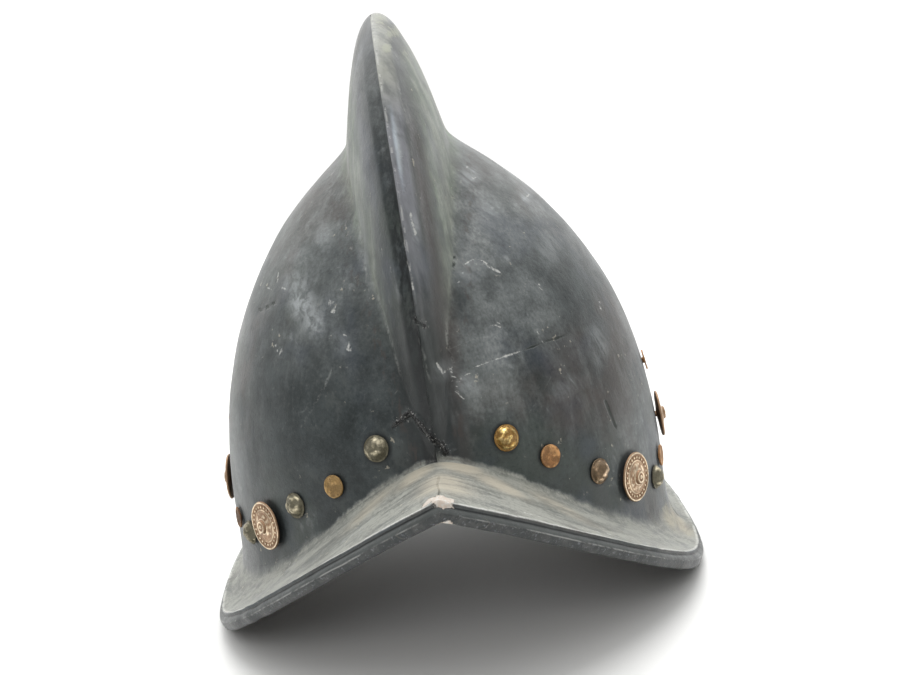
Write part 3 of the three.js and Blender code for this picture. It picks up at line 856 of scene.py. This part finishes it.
def lay_tar_and_cream(s, p):
    """The tar-like ridge with painted glints of light along it, and cream where the film is thickest."""
    tar_edge = s.plus(p.tar, s.swing(s.noise(420, 4, 0.7), 3.6))
    p.tarred = s.span(tar_edge, 0.3, 1.6, 1, 0)
    s.coat(TAR, p.tarred)
    # Painted highlights: pale glints of light along the glossy tar's edge.
    s.coat(CHALK, s.span(tar_edge, 1.5, 2.6, 1, 0), s.span(p.grain, 0.6, 0.66), 0.45)
    ragged = s.blend(p.on_brim, s.noise(230, 5, 0.7), p.smear)
    s.coat(WARM_FILM, p.cream, p.on_brim, s.span(p.smear, 0.3, 0.55, 0.55, 1.0))
    creamy = s.span(s.plus(p.cream, s.swing(ragged, 2.0)), 0.3, 0.75)
    p.creamy = s.times(creamy, s.span(p.cream, 0.0, 0.2), s.span(p.speck, 0.3, 0.5, 0.75, 1.0))
    s.coat(s.mix(p.on_brim, TOP_CREAM, CREAM), p.creamy, s.blend(p.on_brim, 0.7, 0.35))


def lay_rolled_edge(s, p):
    """The brim's crisp edge is worn bright, with painted shade in the groove and a blue-grey bead below it;
    the bead's upper facet is painted lighter as if lit from above, and its ridge line is partly wear, partly
    painted highlight.
    """
    bead = s.mix(s.span(s.noise(150, 6, 0.75), 0.42, 0.62), BEAD_DARK, BEAD_LIGHT)
    bead = s.mix(s.times(s.span(p.speck, 0.54, 0.66), 0.5), bead, LILAC)
    # Painted light: the bead's upper facet faces up and is painted lighter than the lower one.
    bead = s.mix(s.times(s.span(p.edge, -5.3, -4.5), s.span(p.smear, 0.38, 0.6, 0.15, 0.8)), bead, LIT_FACET)
    # The thin pale line on the bead's ridge is partly wear, partly a painted highlight where the ridge
    # catches the light.
    ridge_wear_and_highlight = s.times(s.near(p.edge, -5.0, 0.5), s.span(p.streak, 0.42, 0.58), s.span(p.smear, 0.4, 0.55))
    bead = s.mix(s.times(ridge_wear_and_highlight, 0.4), bead, CHALK)
    nicked = s.span(s.noise(210, 4, 0.65, round_the_brim(s, p, 2.5)), 0.66, 0.7)
    bead = s.mix(s.times(nicked, 0.4), bead, CREAM)
    s.coat(bead, s.span(p.edge, -1.6, -1.0, 0.92, 0))
    # Painted shade in the groove just below the crisp edge.
    s.coat(NEAR_BLACK, s.near(p.edge, -2.0, 0.8), 0.85)
    worn = s.times(s.near(p.edge, 0.3, 1.3), s.span(p.smear, 0.4, 0.58, 0.2, 1.0))
    s.coat(CHALK, worn, s.span(p.speck, 0.38, 0.54, 0.45, 1.0), 0.75)
    p.patched = s.span(s.plus(p.plaster, s.swing(s.noise(230, 4, 0.65), 1.4)), 0.42, 0.55)
    s.coat(s.mix(s.span(p.speck, 0.42, 0.7), PLASTER_CREAM, CHALK), p.patched)


def lay_joins(s, p):
    """A worn line on the lap's edge, grime and painted shadow round each fixing, and the plain inside."""
    lap_wear = s.times(s.near(p.lap, 0.9, 0.8), s.span(p.rough, 0.48, 0.58))
    p.lap_wear = s.times(lap_wear, s.span(p.level, 0.15, 0.2))
    s.coat(CHALK, p.lap_wear, 0.38)
    s.coat(NEAR_BLACK, p.seam)
    # Dark ring round each fixing: partly grime, partly painted shadow round and under the fixing.
    s.coat(NEAR_BLACK, s.span(p.fixing, 0.3, 2.2, 1, 0), s.span(p.mottle, 0.3, 0.6, 0.5, 1.0), 0.7)
    s.coat(s.mix(p.mottle, INSIDE_DARK, INSIDE), p.inner)


def paint_roughness(s, p):
    dull = s.plus(s.span(p.cloud, 0.35, 0.65, 0.36, 0.5), s.times(p.film, 0.2))
    dull = s.plus(dull, s.times(s.span(p.speck, 0.4, 0.7), 0.12), s.times(p.rub, 0.2), s.times(p.creamy, 0.2))
    dull = s.blend(s.times(p.valley, 0.6), dull, 0.3)
    dull = s.blend(s.times(p.strip, s.near(p.level, 0.215, 0.035)), dull, 0.22)
    dull = s.blend(p.tarred, dull, 0.14)
    return s.blend(p.inner, dull, 0.75)


def shell_paint():
    s = Shader("shell_paint_black", Metallic=0.0, Sheen_Weight=0.07, Sheen_Roughness=0.4)
    p = paint_patterns(s)
    layers = (
        lay_lacquer, lay_film, lay_crest, lay_scratches, lay_tar_and_cream, lay_rolled_edge, lay_joins,
    )
    for lay in layers:
        lay(s, p)
    heights = (
        (p.mottle, 0.5), (p.grain, 0.14), (p.speck, 0.3), (p.hair, 0.12), (p.scratch, -0.35), (p.chips, 0.5),
        (p.gouge, -0.8), (p.tarred, 1.8), (p.lap_wear, -0.6), (p.patched, 1.4), (p.cloud, 0.6),
        (p.rough, 0.25), (p.lines, -0.5), (p.creamy, 0.3),
    )
    height = s.plus(*[s.times(pattern, share) for pattern, share in heights])
    return s.finish(s.colour, paint_roughness(s, p), height, 0.00035)


# ---- Metals of the fixings ----

def worn_metal(name, bright, body, tarnish, amount, roughness):
    """Old metal: bright where it stands proud, tarnished in the low places and in patches."""
    s = Shader(name, Metallic=1.0)
    proud = s.field("proud")
    patch = s.noise(260, 6, 0.7)
    pits = s.noise(1500, 4, 0.7)
    low = s.math("ADD", s.span(patch, 0.42, 0.62), s.times(s.math("SUBTRACT", 1.0, proud), 1.1), True)
    dirt = s.times(low, amount, s.span(pits, 0.25, 0.6, 0.55, 1.0))
    colour = s.mix(s.span(proud, 0.35, 0.95), body, bright)
    colour = s.mix(s.times(s.span(pits, 0.5, 0.7), 0.4), colour, body)
    colour = s.mix(dirt, colour, tarnish)
    s.put(s.surface.inputs["Metallic"], s.blend(dirt, 1.0, 0.35))
    rough = s.plus(s.span(pits, 0.3, 0.7, roughness, roughness + 0.16), s.times(dirt, 0.28))
    return s.finish(colour, rough, s.plus(s.times(patch, 0.7), s.times(pits, 0.3)), 0.00018)


# ---- Ornaments ----

SHANK_RADIUS = 1.5
RIVET_HEAD_RADIUS = 3.0
RIVET_HEAD_HEIGHT = 1.0
FACE_HEIGHT = {"stud": 3.9, "disc": 0.9, "rosette": 4.8}
FACE_RADIUS = {"stud": 6.0, "disc": 5.3, "rosette": 11.7}


def place_of(node):
    """Where a CAD ornament is seated, its direction out of the shell, and how deep its shank goes."""
    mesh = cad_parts[node].data
    corners = np.array([v.co for v in mesh.vertices]) / MM
    corners = np.unique(np.round(corners, 3), axis=0)
    middle = corners.mean(axis=0)
    values, vectors = np.linalg.eigh(np.cov((corners - middle).T))
    lone = 0 if values[2] - values[1] < values[1] - values[0] else 2
    axis = vectors[:, lone]
    if axis @ (middle * np.array([1, 1, 0])) < 0:
        axis = -axis
    along = (corners - middle) @ axis
    kind = node.split("_")[0]
    seat = middle + axis * (along.max() - FACE_HEIGHT[kind])
    depth = along.max() - along.min() - FACE_HEIGHT[kind] - RIVET_HEAD_HEIGHT
    return seat, axis, depth


def lathe(profile, segments):
    """Points and faces of a turned body; the profile starts and ends on the axis."""
    ring = profile[1:-1]
    angle = np.arange(segments) * 2 * math.pi / segments
    points = [np.array([[0, 0, profile[0][1]]])]
    for r, h in ring:
        points.append(np.stack([r * np.cos(angle), r * np.sin(angle), np.full(segments, h)], axis=1))
    points.append(np.array([[0, 0, profile[-1][1]]]))
    faces = []
    after = np.roll(np.arange(segments), -1)
    last = 1 + (len(ring) - 1) * segments
    for a in range(segments):
        b = int(after[a])
        faces.append([0, 1 + a, 1 + b])
        for k in range(len(ring) - 1):
            base = 1 + k * segments
            faces.append([base + a, base + segments + a, base + segments + b, base + b])
        faces.append([last + segments, last + b, last + a])
    return np.concatenate(points), faces


def back_profile(depth):
    return [
        (2.4, 0.0), (SHANK_RADIUS, -0.1), (SHANK_RADIUS, -depth),
        (RIVET_HEAD_RADIUS - 0.3, -depth), (RIVET_HEAD_RADIUS, -depth - 0.3),
        (RIVET_HEAD_RADIUS * 0.8, -depth - 0.8), (0.6, -depth - RIVET_HEAD_HEIGHT),
        (0, -depth - RIVET_HEAD_HEIGHT),
    ]


def ball(centre, radius, flat):
    """A small bead, flattened along Z."""
    rings, around = 5, 10
    profile = [(0, radius * flat)]
    for k in range(1, rings + 1):
        angle = math.pi * k / (rings + 1)
        profile.append((radius * math.sin(angle), radius * flat * math.cos(angle)))
    profile.append((0, -radius * flat))
    points, faces = lathe(profile, around)
    return points + centre, faces


def join(parts):
    points, faces, start = [], [], 0
    for part_points, part_faces in parts:
        points.append(part_points)
        faces += [[v + start for v in face] for face in part_faces]
        start += len(part_points)
    return np.concatenate(points), faces


ROSETTE_FACE = [
    (0, 4.8), (0.45, 4.74), (0.8, 4.5), (1.0, 4.2), (1.25, 4.0), (1.6, 4.0), (1.9, 4.2), (2.25, 4.4),
    (2.6, 4.38), (2.95, 4.15), (3.2, 3.75), (3.35, 3.3), (3.6, 3.05), (4.0, 2.95), (4.5, 2.85),
    (5.0, 2.74), (5.5, 2.62), (6.0, 2.5), (6.4, 2.4), (6.7, 2.38), (6.95, 2.48), (7.2, 2.5), (7.45, 2.4),
    (7.7, 2.18), (8.0, 1.95), (8.5, 1.8), (9.0, 1.72), (9.6, 1.62), (10.1, 1.55), (10.35, 1.65),
    (10.6, 1.9), (10.9, 2.1), (11.25, 2.12), (11.55, 1.9), (11.7, 1.5), (11.65, 1.15), (11.4, 0.95),
    (10.6, 0.75), (7.5, 0.5), (4.0, 0.3), (3.0, 0.05),
]
STUD_FACE = [
    (0, 3.9), (0.8, 3.86), (1.5, 3.74), (2.2, 3.55), (2.9, 3.28), (3.5, 2.92), (4.0, 2.5), (4.45, 2.02),
    (4.8, 1.5), (5.02, 1.08), (5.18, 0.82), (5.45, 0.7), (5.75, 0.6), (5.95, 0.4), (6.0, 0.18),
    (5.9, 0.0), (4.0, 0.0),
]
DISC_FACE = [
    (0, 0.7), (0.8, 0.71), (1.6, 0.71), (2.4, 0.72), (3.2, 0.73), (3.8, 0.75), (4.3, 0.79), (4.65, 0.88),
    (4.95, 0.9), (5.2, 0.76), (5.3, 0.5), (5.3, 0.18), (5.2, 0.0), (4.0, 0.0),
]
BEADS = 24
BEAD_RING = 9.15
BEAD_RADIUS = 0.72
BEAD_LEVEL = 1.65
BOSS_RADIUS = 3.4  # of the rosette's middle boss
STAMPED = (3.7, 6.6)  # the stamped field runs between these radii
RING_RADIUS = 7.7  # outside of the raised ring round it


def rosette(depth, seed):
    """A stamped face with a boss, a raised ring and beads; seed varies its wear."""
    body = lathe([*ROSETTE_FACE, *back_profile(depth)], 96)
    beads = []
    for k in range(BEADS):
        angle = 2 * math.pi * (k + 0.3 * seed % 1) / BEADS
        centre = np.array([BEAD_RING * math.cos(angle), BEAD_RING * math.sin(angle), BEAD_LEVEL])
        beads.append(ball(centre, BEAD_RADIUS, 0.9))
    points, faces = join([body, *beads])
    radius = np.hypot(points[:, 0], points[:, 1])
    flat = points * np.array([1, 1, 0]) + seed * 17
    proud = smooth_step(points[:, 2], 1.7, 2.2)
    stamped = (radius > STAMPED[0]) & (radius < STAMPED[1])
    proud = np.where(stamped, 0.55 + 0.55 * noise(flat, 1.1, 43), proud)
    proud = np.where(radius < BOSS_RADIUS, smooth_step(points[:, 2], 4.0, 4.4), proud)
    proud = np.where((radius >= STAMPED[1]) & (radius < RING_RADIUS), 0.5 * proud, proud)
    face = points[:, 2] > 0.9
    points[:, 2] += face * stamped * 0.16 * noise(flat, 1.3, 47)
    points[:, 2] += face * 0.1 * noise(flat, 5, 29) * smooth_step(points[:, 2], 4.8, 3.0)
    return points, faces, proud


def hammered(face, depth, seed, size, amount):
    """A face with dents about size across and up to amount deep."""
    points, faces = lathe([*face, *back_profile(depth)], 48)
    shifted = points + seed * 13.7
    on_face = smooth_step(points[:, 2], 0.1, 0.5)
    dents = np.minimum(noise(shifted, size, 31), 0.3) + 0.6 * noise(shifted, size * 0.5, 37)
    out = 0.99 + 0.025 * noise(shifted * np.array([1, 1, 0]), 5, 41)
    points[:, :2] *= np.where(on_face[:, None] > 0, np.minimum(out, 1.0)[:, None], 1)
    points[:, 2] -= amount * on_face * np.clip(0.5 - dents, 0, 1)
    proud = smooth_step(dents, -0.6, 0.5) * smooth_step(points[:, 2], 0.2, 0.9)
    return points, faces, proud


# The others are bronze studs and copper discs.
METAL_OF = {
    "stud_front_1_left": "gold", "stud_front_2_left": "red_bronze", "stud_back_3_right": "red_bronze",
    "disc_front_1_right": "ochre", "disc_front_2_right": "dull_copper",
}


def build_ornament(node, index):
    kind = node.split("_")[0]
    seat, axis, depth = place_of(node)
    if kind == "rosette":
        points, faces, proud = rosette(depth, index)
        material = MATERIALS["rosette"]
    elif kind == "stud":
        points, faces, proud = hammered(STUD_FACE, depth, index, 2.2, 0.75)
        material = MATERIALS[METAL_OF.get(node, "bronze")]
    else:
        points, faces, proud = hammered(DISC_FACE, depth, index, 2.2, 0.16)
        proud = np.maximum(proud, 0.5)
        material = MATERIALS[METAL_OF.get(node, "copper")]
    spin = Matrix.Rotation(index * 2.4, 3, "Z")
    turn = Vector((0, 0, 1)).rotation_difference(Vector(axis)).to_matrix() @ spin
    placed = points @ np.array(turn).T + seat
    piece = make_mesh(node + "_detail", placed, faces, {"proud": proud}, material, math.radians(50))
    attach(piece, "root")
    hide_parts(node)
    return seat, FACE_RADIUS[kind]


# Name, bright, body and tarnish colours, how much is tarnished, and roughness.
METALS = {
    "rosette": ("bronze_rosette", (1.0, 0.84, 0.62), (0.52, 0.33, 0.2), (0.06, 0.034, 0.022), 0.5, 0.3),
    "bronze": ("bronze_stud", (0.56, 0.5, 0.36), (0.28, 0.25, 0.17), (0.05, 0.05, 0.038), 0.62, 0.3),
    "gold": ("bronze_gilt", (1.0, 0.74, 0.3), (0.66, 0.38, 0.1), (0.07, 0.035, 0.012), 0.75, 0.24),
    "red_bronze": ("bronze_red", (0.86, 0.64, 0.44), (0.36, 0.23, 0.13), (0.05, 0.048, 0.034), 0.68, 0.27),
    "copper": ("copper_disc", (0.7, 0.4, 0.18), (0.44, 0.22, 0.09), (0.075, 0.045, 0.026), 0.6, 0.42),
    "ochre": ("copper_ochre", (0.66, 0.44, 0.2), (0.42, 0.27, 0.11), (0.075, 0.05, 0.026), 0.55, 0.42),
    "dull_copper": ("copper_dull", (0.42, 0.25, 0.13), (0.24, 0.13, 0.07), (0.045, 0.03, 0.02), 0.8, 0.5),
}
MATERIALS = {kind: worn_metal(*looks) for kind, looks in METALS.items()}

seats = []
fixings = sorted(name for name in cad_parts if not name.startswith("shell"))
for number, node_name in enumerate(fixings):
    seats.append(build_ornament(node_name, number))

PAINT = shell_paint()
for node_name, side, seam_sign in (("shell_left", 1, 1), ("shell_right", -1, -1)):
    grid, zones, fields = half_grid(side, seam_sign)
    near = [(centre, radius) for centre, radius in seats if centre[0] * side > 0]
    fields["fixing"] = fixing_distance(grid, [c for c, _ in near], [r for _, r in near])
    faces = grid_faces(grid, zones, side)
    flat_fields = {key: np.ravel(values) for key, values in fields.items()}
    shell = make_mesh(node_name + "_detail", grid.reshape(-1, 3), faces, flat_fields, PAINT)
    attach(shell, "root")
    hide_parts(node_name)


# ---- Floor, light and camera ----

FLOOR_RADIUS = 1.5
FLOOR_SIDES = 96
FLOOR_GAP = 0.0003
# How the room's light changes along an axis: between which directions, and from and to what strength.
ROOM_SHADES = (("Y", -0.05, 1.0, 0.23, 1.9), ("Z", 0.3, 0.95, 0.0, 0.9))
ROOM_SEEN = 1.05
# Name, place, aim, size and power.
LAMPS = (
    ("key", (0.1, 0.5, 2.0), (0, 0, 0.1), 1.8, 28),
    ("front_soft", (-0.3, -1.9, 1.3), (0, 0, 0.12), 0.9, 7.5),
)
CAMERA_RISE = math.radians(12.34)
CAMERA_SWING = math.radians(0.85)
CAMERA_ROLL = math.radians(8.03)
CAMERA_DISTANCE = 0.6645
CAMERA_AIM = Vector((0.01082, 0, 0.1188))
CAMERA_LENS = 52
CAMERA_SENSOR = 36


def make_floor():
    level = CAD_LOW.z - FLOOR_GAP
    turns = [2 * math.pi * k / FLOOR_SIDES for k in range(FLOOR_SIDES)]
    corners = [(FLOOR_RADIUS * math.cos(turn), FLOOR_RADIUS * math.sin(turn), level) for turn in turns]
    mesh = bpy.data.meshes.new("floor")
    mesh.from_pydata(corners, [], [list(range(FLOOR_SIDES))])
    pale = Shader("floor_pale")
    shade = pale.mix(pale.noise(3, 2), (0.8, 0.8, 0.79), (0.84, 0.84, 0.83))
    mesh.materials.append(pale.finish(shade, 0.7))
    add_object("floor", mesh)


def make_world():
    """A white room, darker on the side that the camera looks from."""
    world = bpy.data.worlds.new("room")
    bpy.context.scene.world = world
    n = Nodes(world)
    split = n.node("SeparateXYZ")
    n.put(split.inputs[0], n.node("TexCoord").outputs["Generated"])
    light = n.plus(*[n.span(split.outputs[axis], *reach) for axis, *reach in ROOM_SHADES])
    seen = n.node("LightPath").outputs["Is Camera Ray"]
    out = n.tree.nodes["Background"]
    n.put(out.inputs["Strength"], n.blend(seen, light, ROOM_SEEN))
    out.inputs["Color"].default_value = (1.0, 1.0, 0.99, 1)


def make_lamp(name, place, aim, size, power):
    lamp = bpy.data.lights.new(name, "AREA")
    lamp.shape = "DISK"
    lamp.size = size
    lamp.energy = power
    holder = add_object(name, lamp)
    holder.location = place
    holder.rotation_euler = (Vector(aim) - Vector(place)).to_track_quat("-Z", "Y").to_euler()


def make_camera():
    right = Vector((math.cos(CAMERA_SWING), math.sin(CAMERA_SWING), 0))
    level_back = Vector((math.sin(CAMERA_SWING), -math.cos(CAMERA_SWING), 0))
    back = level_back * math.cos(CAMERA_RISE) + Vector((0, 0, math.sin(CAMERA_RISE)))
    up = back.cross(right)
    x_axis = math.cos(CAMERA_ROLL) * right - math.sin(CAMERA_ROLL) * up
    y_axis = math.sin(CAMERA_ROLL) * right + math.cos(CAMERA_ROLL) * up
    camera = bpy.data.cameras.new("camera")
    camera.sensor_width = CAMERA_SENSOR
    camera.lens = CAMERA_LENS
    camera.clip_start = 0.01
    holder = add_object("camera", camera)
    turn = Matrix((x_axis, y_axis, back)).transposed().to_4x4()
    holder.matrix_world = Matrix.Translation(CAMERA_AIM + back * CAMERA_DISTANCE) @ turn
    bpy.context.scene.camera = holder


make_floor()
make_world()
for lamp in LAMPS:
    make_lamp(*lamp)
make_camera()
bpy.context.scene.view_settings.view_transform = "Standard"
